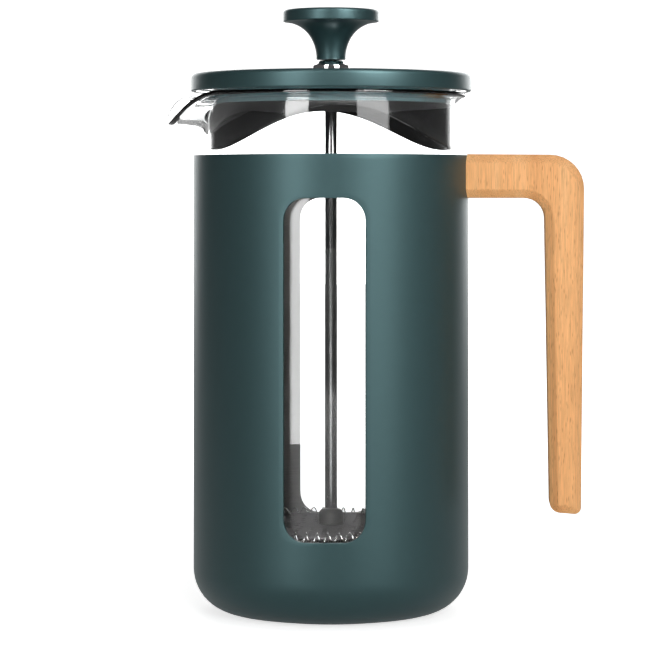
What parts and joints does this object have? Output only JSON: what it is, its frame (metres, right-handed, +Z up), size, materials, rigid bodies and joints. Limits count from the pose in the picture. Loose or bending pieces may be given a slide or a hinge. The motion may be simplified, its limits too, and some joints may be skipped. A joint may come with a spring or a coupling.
{
  "type": "french press",
  "caption": "Cafetiere: glass beaker with spout in a windowed painted steel sleeve, beech L-shaped handle, flat round lid, trumpet knob on a plunger rod with a coil-edged filter.",
  "frame": {"origin": "on the pot's axis, at the underside of the base pad, where it stands on a table", "axes": "+Z up along the plunger rod, +X towards the handle, -Y towards the front window"},
  "size_m": [0.1537, 0.104, 0.2238],
  "materials": {
    "teal_paint": "matte, fine soft-touch powder coat",
    "teal_plastic": "satin moulded",
    "black_plastic": "glossy moulded",
    "dark_silicone": "matte moulded",
    "clear_silicone": "satin translucent",
    "nylon": "satin",
    "glass": "clear borosilicate",
    "beech": "lightly oiled, fine flecked grain",
    "chrome": "polished",
    "steel": "satin stainless",
    "brass": "machined"
  },
  "bodies": {
    "pot": {"sleeve": "teal_paint", "base_pad": "dark_silicone", "beaker_cushion": "clear_silicone", "beaker_grip_ring": "clear_silicone", "beaker": "glass", "handle": "beech", "handle_screw_front": "steel", "handle_screw_back": "steel", "handle_insert_front": "brass", "handle_insert_back": "brass"},
    "guide": {"guide_ferrule": "chrome", "ferrule_nut": "steel"},
    "lid": {"lid_cap": "teal_paint", "lid_plug": "teal_plastic", "lid_skirt": "black_plastic"},
    "bush": {"rod_bush": "nylon"},
    "plunger": {"knob": "teal_paint", "knob_insert": "brass", "plunger_rod": "chrome", "filter_dome": "steel", "spiral_plate": "steel", "coil_spring": "steel", "mesh_screen": "steel", "cross_plate": "steel", "filter_nut": "steel"}
  },
  "joints": [
    {"name": "lid_lift", "type": "slide", "parent": "pot", "child": "guide", "axis": [0, 0, 1], "range_m": [0, 0.175]},
    {"name": "lid_turn", "type": "hinge", "parent": "guide", "child": "lid", "pos_m": [0, 0, 0.2], "axis": [0, 0, 1], "continuous": true},
    {"name": "plunger_spin", "type": "hinge", "parent": "guide", "child": "bush", "pos_m": [0, 0, 0.2], "axis": [0, 0, 1], "continuous": true},
    {"name": "plunger_slide", "type": "slide", "parent": "bush", "child": "plunger", "axis": [0, 0, 1], "range_m": [0, 0.134]}
  ]
}
